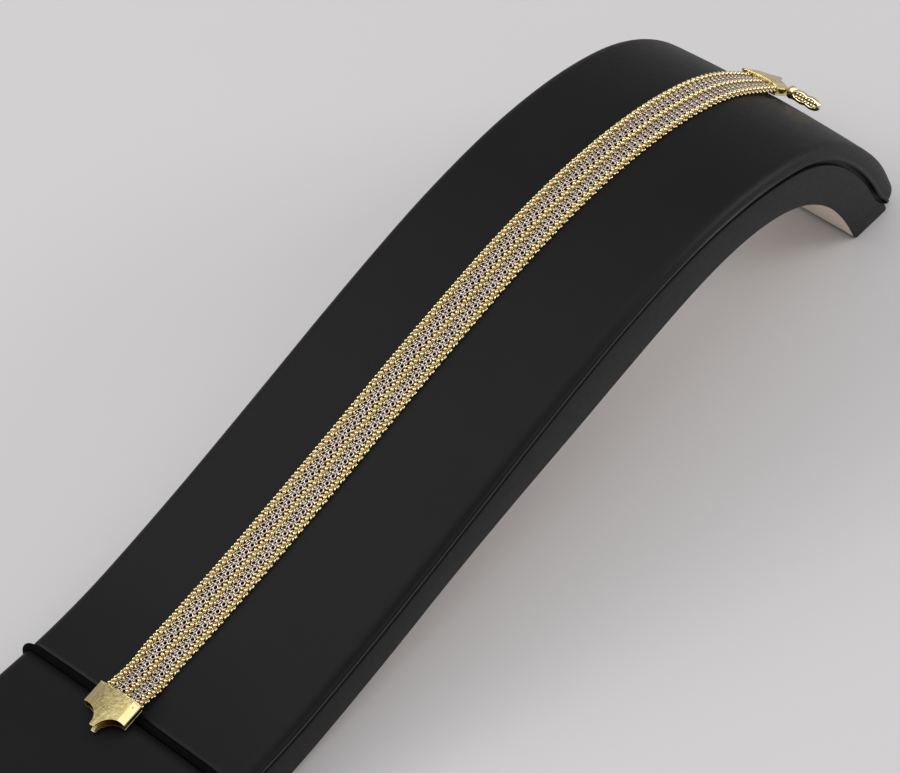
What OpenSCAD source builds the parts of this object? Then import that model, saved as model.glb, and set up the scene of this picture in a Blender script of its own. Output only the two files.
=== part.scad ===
// Woven gold bracelet, lying open on a curved, padded display ramp.
// X runs along the ramp from its low end to its foot, Y across it, Z up.
// The origin is on the table, under the middle of the whole thing.
// A station is a length in mm along the top of the pad, from the low end.

/* [Ramp] */
// Width of the padded panel
pad_w = 47; // [44:0.5:51]
// Thickness of the padded panel at its edges
pad_t = 3.4; // [3:0.1:4.5]
// How much higher the panel's middle is than its sides
pad_crown = 0.7; // [0.2:0.1:1.2]
// Station where the panel ends, at the foot
pad_end = 252.5; // [250:0.5:253]
// Depth of the ramp under the panel's top at both ends
ramp_depth = 13.4; // [12:0.1:15]
// How much deeper the ramp is halfway up its slope
ramp_swell = 3.4; // [0:0.1:5]
// How far the black side walls stand in from the panel's edge
wall_inset = 0.5; // [0.2:0.1:1.5]
// Thickness of the pale board under the arch
board_t = 0.9; // [0.6:0.1:1.5]
// Gap between pieces that lie on each other
seat_gap = 0.1; // [0.05:0.05:0.2]

/* [Elastic] */
// Thickness of the elastic cord round the low end
cord_d = 1.8; // [1.4:0.1:2]
// Station of the elastic cord
cord_at = 27.8; // [26:0.1:28.5]

/* [Woven band] */
// Distance between the middles of neighbouring rows
row_pitch = 1.63; // [1.55:0.01:1.63]
// Width of one row of links
row_w = 1.35; // [1.2:0.05:1.35]
// Thickness of the rows
row_t = 1; // [0.8:0.1:1.2]
// Station where the rows enter the box
band_from = 28.7; // [28.6:0.1:29.5]
// Station where the rows enter the tongue's cap
band_to = 216.5; // [214:0.5:218]
// Distance of the band from the ramp's middle, at its halfway station
band_side = 2.2; // [-4:0.1:4]
// Sideways drift of the band for each mm along the ramp
band_drift = -0.015; // [-0.03:0.001:0.03]

/* [Clasp] */
// Width of both clasp caps
cap_w = 8.6; // [8.6:0.1:9.2]
// Length of a cap from the band to its point
cap_l = 7.8; // [7.4:0.1:8.6]
// Height of both caps
cap_h = 2.3; // [2.2:0.1:2.4]
// Thickness of the caps' sheet
sheet_t = 0.3; // [0.25:0.05:0.35]
// Slope of the box on the elastic cord, in degrees
box_slope = 8; // [7:0.1:9]
// How far the box is turned from the ramp's direction, in degrees
box_yaw = 2.7; // [0:0.1:4]
// Slope of the tongue's cap past the crest, in degrees
tongue_slope = -34; // [-36:1:-33]
// How far the tongue's cap is turned from the ramp's direction, in degrees
tongue_yaw = -6; // [-7:0.5:0]
// Roll of the tongue's cap, in degrees
tongue_roll = -3; // [-4:0.5:0]
// Downward bend of the spring tongue, in degrees
tongue_bend = 14; // [8:1:16]

/* [Safety catch] */
// Length of the catch from its hinge pin
catch_l = 8.2; // [6:0.1:9]
// Height of the catch
catch_h = 2.7; // [2:0.1:2.8]
// Angle of the opened catch from the direction of the tongue, in degrees
catch_open = 100; // [80:5:120]

/* [Hidden] */
$fn = 48;

// The ramp's top, as arcs from the low end to the foot
LENGTH = 0;
TURN = 1;
// columns: length of the arc, turn upward in degrees
ramp_arcs = [
    [23, 0],
    [25, 15],
    [27, 4.5],
    [25, 1],
    [27, -3.5],
    [24, -9.5],
    [19, -11],
    [20, -13],
    [19, -19],
    [18, -14.5],
    [27, -13.5]
];
swell_at = 132;
swell_reach = 58;
core_w = pad_w - 2 * wall_inset;
cord_r = cord_d / 2;
toe_flat = 29.4;
foot_at = 248;

// Smooth step from 0 to 1
function ease(t) = let (c = max(0, min(1, t))) c * c * (3 - 2 * c);

// Place [x, z] and heading at station s, walking along the arcs
function walk(s, i = 0, x = 0, z = 0, h = 0) =
    let (
        last = i == len(ramp_arcs) - 1,
        t = last ? s : min(s, ramp_arcs[i][LENGTH]),
        turn = ramp_arcs[i][TURN] * t / ramp_arcs[i][LENGTH],
        r = turn == 0 ? 0 : t / (turn * PI / 180),
        nx = turn == 0 ? x + t * cos(h) : x + r * (sin(h + turn) - sin(h)),
        nz = turn == 0 ? z + t * sin(h) : z + r * (cos(h) - cos(h + turn))
    )
    (last || s <= ramp_arcs[i][LENGTH]) ? [nx, nz, h + turn]
        : walk(s - ramp_arcs[i][LENGTH], i + 1, nx, nz, h + turn);

// Side view [x, z] of a place raised by off over station s
function side_at(s, off) = let (w = walk(s))
    [w[0] - off * sin(w[2]) - half_length, w[1] + off * cos(w[2]) + ramp_depth];

// The same in space, at y across the ramp
function place(s, y, off) = let (p = side_at(s, off)) [p[0], y, p[1]];

// Depth of the ramp under its top at station s
function depth(s) = ramp_depth
    + (abs(s - swell_at) < swell_reach ? ramp_swell * (1 + cos(180 * (s - swell_at) / swell_reach)) / 2 : 0);

// Faces of a closed skin over rings of n points, with end caps
function tube_faces(rings, n) = concat(
    [[for (k = [n - 1:-1:0]) k]],
    [for (i = [0:rings - 2], k = [0:n - 1]) [i * n + k, i * n + (k + 1) % n, (i + 1) * n + (k + 1) % n, (i + 1) * n + k]],
    [[for (k = [0:n - 1]) (rings - 1) * n + k]]
);

// Faces of a ring-shaped skin that closes on itself
function loop_faces(rings, n) =
    [for (i = [0:rings - 1], k = [0:n - 1])
        let (j = (i + 1) % rings) [i * n + k, j * n + k, j * n + (k + 1) % n, i * n + (k + 1) % n]];

// Padded panel: crowned top, rolled edges, ends rolled down, a crease under the elastic
pad_edge = 2.6;
pad_drop = 1.8;
pad_steps = 8;
cord_reach = cord_r + seat_gap + 0.05;
pad_stations = concat(
    [0, 0.35, 0.9, 1.6, 2.6, 5, 12, 20, 25],
    [for (k = [-4:4]) cord_at + cord_reach * sin(22.5 * k)],
    [32, 36],
    [for (s = [41:6:245]) s],
    [for (e = [6, 2.6, 1.6, 0.9, 0.35, 0]) pad_end - e]
);
function crease(s) = abs(s - cord_at) < cord_reach ? sqrt(pow(cord_reach, 2) - pow(s - cord_at, 2)) : 0;
function end_roll(s, reach) = let (t = min(s, pad_end - s, reach) / reach) 1 - sqrt(1 - pow(1 - t, 2));
function pad_top(y, s) = -pad_crown * pow(2 * y / pad_w, 2) - pad_drop * end_roll(s, pad_edge) - crease(s);
half_length = max([for (e = [0:0.25:3]) let (w = walk(pad_end - e)) w[0] - pad_top(0, pad_end - e) * sin(w[2])]) / 2;

function pad_ring(s) =
    let (
        half = pad_w / 2 - 2 * end_roll(s, pad_edge) - min(crease(s), wall_inset),
        flat = half - pad_edge,
        top = [for (k = [-pad_steps / 2:pad_steps / 2]) [2 * flat * k / pad_steps, pad_top(2 * flat * k / pad_steps, s)]],
        e = pad_top(flat, s),
        fall = max(0.3, pad_t + e - 0.9),
        roll = [for (a = [18:18:90]) [flat + pad_edge * sin(a), e - min(pad_drop, fall) * (1 - cos(a))]],
        under = [[half, -pad_t + 0.5], [half - 0.5, -pad_t]]
    )
    concat(top, roll, under, [for (k = [1:-1:0]) [-under[k][0], under[k][1]]],
        [for (k = [4:-1:0]) [-roll[k][0], roll[k][1]]]);

module stand_pad() {
    n = len(pad_ring(60));
    color([0.13, 0.13, 0.14])
    polyhedron(
        points = [for (s = pad_stations, q = pad_ring(s)) place(s, q[0], q[1])],
        faces = tube_faces(len(pad_stations), n)
    );
}

// Black slab under the panel: its side view, level where it meets the table
core_stations = concat([1], [for (s = [5:4:25]) s], [29.5], [for (s = [33:5:248]) s]);
module slab_side(from, to, top, under, reach) {
    path = [for (s = concat([from], [for (c = core_stations) if (c > from + 0.5 && c < to - 0.5) c], [to])) s];
    intersection() {
        polygon(concat(
            [for (s = path) side_at(s, -top)],
            [for (k = [len(path) - 1:-1:0]) side_at(path[k], -depth(path[k]) + under)]
        ));
        translate([-half_length - 10, reach])
        square([2 * half_length + 20, 100]);
    }
}

module stand_core() {
    cord_foot = side_at(cord_at, -ramp_depth);
    color([0.16, 0.16, 0.17])
    difference() {
        rotate([90, 0, 0])
        linear_extrude(core_w, center = true)
        union() {
            slab_side(1, toe_flat, pad_t + seat_gap, 0, 0);
            slab_side(toe_flat - 0.4, 257, pad_t + seat_gap, board_t + seat_gap, 0);
        }
        translate([cord_foot[0], 0, 0])
        cube([cord_d + 0.5, core_w + 2, 2 * (cord_d + 1)], center = true);
    }
}

// Pale board that lines the arch under the slab
module underside_board() {
    path = concat([toe_flat + 0.4], [for (s = [33:5:243]) s], [foot_at - 1.2]);
    color([0.86, 0.82, 0.77])
    rotate([90, 0, 0])
    linear_extrude(core_w, center = true)
    intersection() {
        polygon(concat(
            [for (s = path) side_at(s, -depth(s) + board_t)],
            [for (k = [len(path) - 1:-1:0]) side_at(path[k], -depth(path[k]))]
        ));
        translate([-half_length, seat_gap])
        square([2 * half_length, 100]);
    }
}

// Elastic cord: a taut loop over the panel, down both walls and through a slot underneath
cord_sides = 10;
cord_corner = 2.2;
cord_turn = 1.5;
cord_half = core_w / 2 + cord_r + seat_gap;
cord_low = -ramp_depth + cord_r + 0.45;
function cord_top(y) = -pad_crown * pow(2 * y / pad_w, 2) - 0.05;
cord_path = concat(
    [for (k = [-6:6]) let (y = (cord_half - cord_corner) * k / 6) [y, cord_top(y)]],
    [for (a = [20:20:80]) [cord_half - cord_corner * (1 - sin(a)), cord_top(cord_half - cord_corner) - cord_corner * (1 - cos(a))]],
    [for (k = [0:3]) [cord_half, -3.4 - k * (-cord_low - 3.4 - cord_turn) / 3]],
    [for (a = [22.5:22.5:67.5]) [cord_half - cord_turn * (1 - cos(a)), cord_low + cord_turn * (1 - sin(a))]],
    [for (k = [6:-1:-6]) [(cord_half - cord_turn) * k / 6, cord_low]],
    [for (a = [67.5:-22.5:22.5]) [-cord_half + cord_turn * (1 - cos(a)), cord_low + cord_turn * (1 - sin(a))]],
    [for (k = [3:-1:0]) [-cord_half, -3.4 - k * (-cord_low - 3.4 - cord_turn) / 3]],
    [for (a = [80:-20:20]) [-cord_half + cord_corner * (1 - sin(a)), cord_top(cord_half - cord_corner) - cord_corner * (1 - cos(a))]]
);

module elastic_cord() {
    m = len(cord_path);
    color([0.07, 0.07, 0.08])
    polyhedron(
        points = [for (i = [0:m - 1], k = [0:cord_sides - 1])
            let (
                t = cord_path[(i + 1) % m] - cord_path[(i + m - 1) % m],
                u = t / norm(t),
                a = 360 * k / cord_sides,
                c = cord_path[i] + cord_r * cos(a) * [-u[1], u[0]]
            )
            place(cord_at + cord_r * sin(a), c[0], c[1])],
        faces = loop_faces(m, cord_sides)
    );
}

// Woven band: five rows side by side, lifted a little at both clasp caps
row_sides = 10;
band_mid = 118;
near_lift = 1.6;
near_reach = 8;
near_shift = -1.1;
near_squeeze = 0.04;
far_squeeze = 0.03;
shift_reach = 13;
far_lift = 0.8;
far_reach = 14;
row_inside = 0.5;
row_stations = concat(
    [band_from - row_inside, band_from],
    [for (k = [1:7]) band_from + k * 1.3],
    [for (s = [42:3.4:207]) s],
    [for (k = [4:-1:1]) band_to - k * 1.9],
    [band_to, band_to + row_inside]
);
function near_end(s, reach) = 1 - ease((s - band_from) / reach);
function far_end(s) = pow(max(0, s - band_to + far_reach) / far_reach, 2);
function band_y(s) = band_side + band_drift * (s - band_mid) + near_shift * near_end(s, shift_reach);
function band_off(s) = seat_gap + row_t / 2 + near_lift * near_end(s, near_reach) + far_lift * far_end(s);

// A place on the band, v from its middle line: its ends turn and roll with the caps
function band_place(s, v, off) = place(
    s - v * (sin(box_yaw) * near_end(s, near_reach) + sin(tongue_yaw) * far_end(s)),
    band_y(s) + v * (1 - near_squeeze * near_end(s, shift_reach) - far_squeeze * far_end(s)),
    band_off(s) + off + v * sin(tongue_roll) * far_end(s)
);

module row(index) {
    polyhedron(
        points = [for (s = row_stations, k = [0:row_sides - 1])
            let (a = 360 * (k + 0.5) / row_sides, cy = cos(a), cz = sin(a))
            band_place(
                s,
                (2 - index) * row_pitch - row_w / 2 * sign(cy) * pow(abs(cy), 0.8),
                row_t / 2 * sign(cz) * pow(abs(cz), 0.8)
            )],
        faces = tube_faces(len(row_stations), row_sides)
    );
}

module yellow_edge_row_far() {
    color([0.86, 0.72, 0.42]) row(0);
}

module white_row_far() {
    color([0.86, 0.85, 0.86]) row(1);
}

module yellow_centre_row() {
    color([0.86, 0.72, 0.42]) row(2);
}

module white_row_near() {
    color([0.86, 0.85, 0.86]) row(3);
}

module yellow_edge_row_near() {
    color([0.86, 0.72, 0.42]) row(4);
}

// Clasp cap: u along X away from the band, a curly-bracket end, open at both ends
scoop_r = 3.2;
point_half = 0.5;
module cap_outline(inset) {
    difference() {
        translate([0, -cap_w / 2 + inset])
        square([cap_l, cap_w - 2 * inset]);
        for (side = [-1, 1])
            translate([cap_l - 0.1, side * (point_half + scoop_r)])
            circle(scoop_r);
        for (side = [-1, 1])
            translate([cap_l - 0.1, side * (point_half + scoop_r) - scoop_r])
            square([1, 2 * scoop_r]);
    }
}

// Sheet box round the tongue's space, with an inner wall that the rows are soldered to
wall_at = 1;
module cap_shell() {
    difference() {
        linear_extrude(cap_h)
        cap_outline(0);
        translate([-1, -cap_w / 2 + sheet_t, sheet_t])
        cube([wall_at + 1, cap_w - 2 * sheet_t, cap_h - 2 * sheet_t]);
        translate([wall_at + sheet_t, -cap_w / 2 + sheet_t, sheet_t])
        cube([cap_l, cap_w - 2 * sheet_t, cap_h - 2 * sheet_t]);
    }
}

module at_box() {
    translate(place(band_from, band_y(band_from), band_off(band_from)))
    rotate([0, -box_slope, 0])
    rotate([0, 0, box_yaw])
    translate([0, 0, -cap_h / 2])
    mirror([1, 0, 0])
    children();
}

module at_tongue() {
    translate(place(band_to, band_y(band_to), band_off(band_to)))
    rotate([0, -tongue_slope, 0])
    rotate([0, 0, tongue_yaw])
    rotate([tongue_roll, 0, 0])
    translate([0, 0, -cap_h / 2])
    children();
}

module box_cap() {
    color([0.80, 0.68, 0.40])
    at_box()
    cap_shell();
}

// Folded spring tongue: two leaves joined at the nose, bent down from its root
leaf_t = 0.35;
tongue_w = 5.6;
tongue_root = 4.6;
tongue_l = 8.5;
tongue_h = 1.2;
module leaves_side(from, to) {
    for (z = [-tongue_h, -leaf_t])
        translate([from, z])
        square([to - from, leaf_t]);
}

module spring_tongue() {
    translate([0, 0, (cap_h + tongue_h) / 2])
    rotate([90, 0, 0])
    linear_extrude(tongue_w, center = true) {
        leaves_side(wall_at + sheet_t / 2, tongue_root);
        translate([tongue_root, 0])
        rotate(-tongue_bend) {
            leaves_side(-0.15, tongue_l);
            translate([tongue_l - 0.01, -tongue_h / 2])
            difference() {
                circle(tongue_h / 2, $fn = 24);
                circle(tongue_h / 2 - leaf_t, $fn = 24);
                translate([-tongue_h, -tongue_h])
                square([tongue_h, 2 * tongue_h]);
            }
        }
    }
}

// Hinge of the safety catch on the cap's near side
hinge_u = 4;
catch_rise = 0.2;
pin_r = 0.25;
pin_play = 0.05;
knuckle_r = 0.5;
knuckle_h = 0.8;
hinge_v = -(cap_w / 2 + knuckle_r + 0.15);
catch_t = 0.9;

module knuckle() {
    translate([hinge_u, hinge_v, cap_h / 2 + catch_rise])
    difference() {
        union() {
            cylinder(h = knuckle_h, r = knuckle_r, center = true);
            translate([0, (knuckle_r + 0.3) / 2, 0])
            cube([0.7, knuckle_r + 0.3, knuckle_h], center = true);
        }
        cylinder(h = knuckle_h + 1, r = pin_r + pin_play, center = true);
    }
}

module tongue_cap() {
    color([0.80, 0.68, 0.40])
    at_tongue() {
        difference() {
            cap_shell();
            translate([tongue_root - 0.3, -tongue_w / 2 - 0.3, -1])
            cube([cap_l, tongue_w + 0.6, 1.1 + sheet_t]);
        }
        spring_tongue();
        knuckle();
    }
}

// Safety catch: a flat bar with two sunk eyes and a ribbed waist, forked round the knuckle
eye_r = 0.75;
eye_sink = 0.5;
module catch_bar() {
    difference() {
        union() {
            translate([0.8, -catch_t / 2, 0])
            cube([catch_l - 0.8 - catch_h / 2, catch_t, catch_h]);
            translate([catch_l - catch_h / 2, 0, catch_h / 2])
            rotate([90, 0, 0])
            cylinder(h = catch_t, d = catch_h, center = true);
        }
        for (a = [2.2, catch_l - 1.4], side = [-1, 1])
            translate([a, side * catch_t / 2, catch_h / 2])
            rotate([90, 0, 0])
            cylinder(h = 2 * (catch_t / 2 - 0.12), r = eye_r, center = true);
    }
    for (a = [3.8, 4.5, 5.2], side = [-1, 1])
        translate([a, side * catch_t / 2, catch_h / 2])
        cylinder(h = 1.5, r = 0.22, center = true);
}

module catch_ears() {
    ear = (catch_h - knuckle_h) / 2 - 0.08;
    for (z = [0, catch_h - ear])
        translate([0, 0, z]) {
            cylinder(h = ear, r = catch_t / 2);
            translate([0, -catch_t / 2, 0])
            cube([1, catch_t, ear]);
        }
    cylinder(h = catch_h, r = pin_r);
}

module safety_catch() {
    color([0.83, 0.70, 0.40])
    at_tongue()
    translate([hinge_u, hinge_v, (cap_h - catch_h) / 2 + catch_rise])
    rotate([0, 0, -catch_open]) {
        catch_bar();
        catch_ears();
    }
}

stand_pad();
stand_core();
underside_board();
elastic_cord();
yellow_edge_row_far();
white_row_far();
yellow_centre_row();
white_row_near();
yellow_edge_row_near();
box_cap();
tongue_cap();
safety_catch();
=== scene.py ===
import bpy
import numpy as np
from mathutils import Matrix


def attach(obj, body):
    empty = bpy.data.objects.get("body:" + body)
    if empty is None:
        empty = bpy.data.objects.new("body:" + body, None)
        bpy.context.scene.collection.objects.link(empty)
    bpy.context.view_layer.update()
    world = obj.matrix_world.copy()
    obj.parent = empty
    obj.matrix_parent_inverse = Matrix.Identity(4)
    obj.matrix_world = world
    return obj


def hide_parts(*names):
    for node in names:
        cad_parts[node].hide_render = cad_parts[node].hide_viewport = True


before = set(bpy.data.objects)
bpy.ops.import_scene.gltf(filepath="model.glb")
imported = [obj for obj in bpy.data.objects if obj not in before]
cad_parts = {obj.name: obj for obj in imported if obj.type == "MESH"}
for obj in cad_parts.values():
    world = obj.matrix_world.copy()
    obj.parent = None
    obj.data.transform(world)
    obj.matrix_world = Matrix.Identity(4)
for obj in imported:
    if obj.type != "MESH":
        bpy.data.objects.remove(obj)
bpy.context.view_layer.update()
ridesOn = "bracelet_on_ramp"
mm = 0.001

# Camera, from the fit to the photograph; lengths in mm
view = {
    "place": (-325.14, -227.82, 457.99),
    "right": (0.62198562, -0.78117981, 0.05377716),
    "down": (-0.55601339, -0.48897491, -0.67212546),
    "forward": (0.55134653, 0.38815155, -0.73848181),
    "focalPixels": 3294.6,
    "pictureWidth": 900,
    "sensorWidth": 36,
}


# An object's matrix from the three directions of its axes and its place in metres
def poseMatrix(x, y, z, place):
    matrix = Matrix([list(row) + [0] for row in np.stack([x, y, z], axis=1)] + [[0, 0, 0, 1]])
    matrix.translation = place
    return matrix


# The lens in mm follows from the focal length in pixels, as the sensor is as wide as the picture
def makeCamera():
    data = bpy.data.cameras.new("camera")
    data.sensor_width = view["sensorWidth"]
    data.lens = view["focalPixels"] * view["sensorWidth"] / view["pictureWidth"]
    data.clip_start = 0.01
    camera = bpy.data.objects.new("camera", data)
    bpy.context.scene.collection.objects.link(camera)
    right, down, forward = (np.array(view[k]) for k in ("right", "down", "forward"))
    camera.matrix_world = poseMatrix(right, -down, -forward, [c * mm for c in view["place"]])
    bpy.context.scene.camera = camera


makeCamera()
print("camera set")


# Smooth step from 0 to 1
def ease(t):
    t = np.clip(t, 0, 1)
    return t * t * (3 - 2 * t)


# Evenly spaced angles, from degrees to radians
def arc(first, last, count):
    return np.radians(np.linspace(first, last, count))


# A vector's direction, with length 1
def unit(v):
    v = np.asarray(v, float)
    return v / np.linalg.norm(v)


# Turn about one axis: 0 is x, 1 is y, 2 is z
def turn(axis, degrees):
    c, s = np.cos(np.radians(degrees)), np.sin(np.radians(degrees))
    i, j = (axis + 1) % 3, (axis + 2) % 3
    matrix = np.eye(3)
    matrix[i, i] = matrix[j, j] = c
    matrix[i, j], matrix[j, i] = -s, s
    return matrix


# The ramp's line, as in the source: arcs as length and turn in degrees, and the slab's depth with its swell
rampLine = {
    "arcs": [
        (23, 0), (25, 15), (27, 4.5), (25, 1), (27, -3.5), (24, -9.5), (19, -11), (20, -13), (19, -19),
        (18, -14.5), (27, -13.5),
    ],
    "halfLength": 114.0317,
    "depth": 13.4,
    "swell": 3.4,
    "swellAt": 132,
    "swellReach": 58,
}


# Side view of the ramp: along each arc the heading turns evenly, so x and z are the sums of its cosine
# and sine
def walkRamp(s):
    arcs = np.array(rampLine["arcs"], float)
    lengths, turns = arcs[:, 0], np.radians(arcs[:, 1])
    starts = np.concatenate([[0], np.cumsum(lengths)])
    headings = np.concatenate([[0], np.cumsum(turns)])
    rates = np.where(np.abs(turns) < 1e-9, 1e-9, turns / lengths)
    dx = (np.sin(headings[1:]) - np.sin(headings[:-1])) / rates
    dz = (np.cos(headings[:-1]) - np.cos(headings[1:])) / rates
    dx[0], dz[0] = lengths[0], 0
    xs, zs = np.concatenate([[0], np.cumsum(dx)]), np.concatenate([[0], np.cumsum(dz)])
    i = np.clip(np.searchsorted(starts, s, side="right") - 1, 0, len(arcs) - 1)
    t = s - starts[i]
    h = headings[i] + rates[i] * t
    flat = i == 0
    x = np.where(flat, t, xs[i] + (np.sin(h) - np.sin(headings[i])) / rates[i])
    z = np.where(flat, 0, zs[i] + (np.cos(headings[i]) - np.cos(h)) / rates[i])
    return x, z, np.where(flat, 0, h)


# A place raised by off over station s, at y across the ramp
def placeOnRamp(s, y, off):
    s, y, off = np.broadcast_arrays(*(np.asarray(v, float) for v in (s, y, off)))
    x, z, h = walkRamp(s)
    x = x - off * np.sin(h) - rampLine["halfLength"]
    z = z + off * np.cos(h) + rampLine["depth"]
    return np.stack([x, y, z], axis=-1)


# Depth of the slab at station s: even, with one cosine hump under the crest
def rampDepth(s):
    near = np.abs(s - rampLine["swellAt"]) < rampLine["swellReach"]
    hump = (1 + np.cos(np.pi * (s - rampLine["swellAt"]) / rampLine["swellReach"])) / 2
    return rampLine["depth"] + np.where(near, rampLine["swell"] * hump, 0)


# Height of the table under station s, measured along the ramp's normal
def tableOff(s):
    _, z, h = walkRamp(s)
    return -(z + rampLine["depth"]) / np.cos(h)


# Quads of a grid of rows by columns, closed in either direction if asked
def gridFaces(rows, cols, closeRows=False, closeCols=False, flip=False):
    i = np.arange(rows if closeRows else rows - 1)
    j = np.arange(cols if closeCols else cols - 1)
    i, j = np.meshgrid(i, j, indexing="ij")
    i2, j2 = (i + 1) % rows, (j + 1) % cols
    corners = (i * cols + j, i2 * cols + j, i2 * cols + j2, i * cols + j2)
    quads = np.stack(corners, axis=-1).reshape(-1, 4)
    return quads[:, ::-1] if flip else quads


# The first and last ring of a grid as faces
def endCaps(rows, cols):
    return [list(range(cols)), list(range(rows * cols - 1, (rows - 1) * cols - 1, -1))]


# Tube round a path of points: at each point two unit vectors across it span the circle
def tubePoints(centre, across, up, radius, sides):
    a = 2 * np.pi * np.arange(sides) / sides
    circle = np.cos(a)[:, None] * across[..., None, :] + np.sin(a)[:, None] * up[..., None, :]
    return centre[..., None, :] + radius * circle


# A mesh from points in mm, on a body
def makePiece(name, points, quads, material, slot, caps=(), smooth=True, body=ridesOn, sharp=None):
    mesh = bpy.data.meshes.new(name)
    faces = np.asarray(quads).tolist() + [list(c) for c in caps]
    mesh.from_pydata((np.asarray(points).reshape(-1, 3) * mm).tolist(), [], faces)
    mesh.update()
    mesh.polygons.foreach_set("use_smooth", [smooth] * len(mesh.polygons))
    if sharp is not None:
        mesh.set_sharp_from_angle(angle=np.radians(sharp))
    mesh.materials.append(material)
    piece = bpy.data.objects.new(name, mesh)
    bpy.context.scene.collection.objects.link(piece)
    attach(piece, body)
    return piece


# The same from rings round a section, with its two ends closed
def makeLoft(name, points, material, slot, **more):
    rows, cols = points.shape[:2]
    quads = gridFaces(rows, cols, closeCols=True)
    return makePiece(name, points, quads, material, slot, endCaps(rows, cols), **more)


# A value at each point, for the materials to read
def addAttribute(piece, name, values):
    layer = piece.data.attributes.new(name, "FLOAT", "POINT")
    layer.data.foreach_set("value", np.asarray(values, np.float32).ravel())


# Materials: sizes of their patterns are in mm, and their colours are sRGB hex values, made linear here
def linear(hexColour):
    c = np.array([int(hexColour[i:i + 2], 16) for i in (1, 3, 5)]) / 255
    c = np.where(c <= 0.04045, c / 12.92, ((c + 0.055) / 1.055) ** 2.4)
    return tuple(c) + (1.0,)


def newMaterial(name):
    material = bpy.data.materials.new(name)
    material.use_nodes = True
    material.node_tree.nodes.clear()
    return material, material.node_tree


# A node of a kind, as in ShaderNodeMix, with its settings and links; inputs go by name or number
def addNode(tree, kind, settings=None, links=None):
    node = tree.nodes.new("ShaderNode" + kind)
    for key, value in (settings or {}).items():
        if isinstance(key, int) or key in node.inputs:
            node.inputs[key].default_value = value
        else:
            setattr(node, key, value)
    for key, source in (links or {}).items():
        tree.links.new(source, node.inputs[key])
    return node


# Joins the shader to the material's output
def finishMaterial(tree, shader):
    addNode(tree, "OutputMaterial", links={"Surface": shader.outputs[0]})


leatherLook = {
    "dark": "#0c0c0d", "light": "#131314", "lipHighlight": "#38383b",
    "pebble": 0.5, "grain": 0.9, "patch": 22, "emboss": 0.04,
    "rough": (0.45, 0.58), "lipRough": 0.2, "shine": 0.16,
}


# Leatherette: PVC film embossed with a fine pebble, stretched over the panel. The eye gets a dull black
# with a faint grain. The lip mask is 1 where the lip pulls the film thin, which is glossier there, and where
# a paler colour is painted on as a highlight line.
def embossedLeatherette(name):
    look = leatherLook
    material, tree = newMaterial(name)
    coords = addNode(tree, "TexCoord").outputs["Object"]
    pebble = addNode(tree, "TexVoronoi",
                     {"feature": "SMOOTH_F1", "Scale": 1000 / look["pebble"], "Smoothness": 0.4},
                     {"Vector": coords})
    fine = addNode(tree, "TexNoise", {"Scale": 1000 / look["grain"], "Detail": 2.0}, {"Vector": coords})
    patch = addNode(tree, "TexNoise", {"Scale": 1000 / look["patch"], "Detail": 3.0}, {"Vector": coords})
    tone = addNode(tree, "Mix", {"data_type": "RGBA", 6: linear(look["dark"]), 7: linear(look["light"])},
                   {0: patch.outputs["Fac"]})
    lipGlossAndHighlight = addNode(tree, "Attribute", {"attribute_name": "lipGlossAndHighlight"}).outputs["Fac"]
    # painted highlight: the lip's colour is lightened towards a pale grey
    lipHighlight = addNode(tree, "Math", {"operation": "POWER", 1: 3.0}, {0: lipGlossAndHighlight})
    tone = addNode(tree, "Mix", {"data_type": "RGBA", 7: linear(look["lipHighlight"])},
                   {0: lipHighlight.outputs[0], 6: tone.outputs[2]})
    rough = addNode(tree, "MapRange", {"To Min": look["rough"][0], "To Max": look["rough"][1]},
                    {"Value": fine.outputs["Fac"]})
    rough = addNode(tree, "Mix", {"data_type": "FLOAT", 3: look["lipRough"]},
                    {0: lipGlossAndHighlight, 2: rough.outputs[0]})
    bump = addNode(tree, "Bump", {"Strength": 0.35, "Distance": look["emboss"] * mm},
                   {"Height": pebble.outputs["Distance"]})
    shader = addNode(tree, "BsdfPrincipled", {"IOR": 1.5, "Specular IOR Level": look["shine"]},
                     {"Base Color": tone.outputs[2], "Roughness": rough.outputs[0],
                      "Normal": bump.outputs[0]})
    finishMaterial(tree, shader)
    return material


wireLook = {
    "patch": 2.4,
    "yellow": ("#ecd8a4", "#f7e6bb", 0.17),  # dull tone, bright tone, roughness
    "white": ("#b6a99d", "#d4c7bc", 0.15),
}


# Gold wire, drawn and polished: even colour, soft small highlights, a little darker where grime sits
def drawnWire(name, metal):
    dull, bright, rough = wireLook[metal]
    material, tree = newMaterial(name)
    coords = addNode(tree, "TexCoord").outputs["Object"]
    patch = addNode(tree, "TexNoise", {"Scale": 1000 / wireLook["patch"], "Detail": 2.0}, {"Vector": coords})
    tone = addNode(tree, "Mix", {"data_type": "RGBA", 6: linear(dull), 7: linear(bright)},
                   {0: patch.outputs["Fac"]})
    shader = addNode(tree, "BsdfPrincipled", {"Metallic": 1.0, "Roughness": rough},
                     {"Base Color": tone.outputs[2]})
    finishMaterial(tree, shader)
    return material


sheetLook = {
    "dull": "#d5c389", "bright": "#eaddac", "patch": 3.0,
    "rough": (0.16, 0.26),  # polished and brushed
    "brushedAndShaded": "#a08c50", "shadePatches": (0.2, 0.74),  # painted shade of the brushed top, and its least and most
    "dent": 0.7, "dentDepth": 0.06,
    "stroke": (50 / 3, 0.35), "strokeDepth": 0.03,  # a brush stroke's length and width
}
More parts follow.
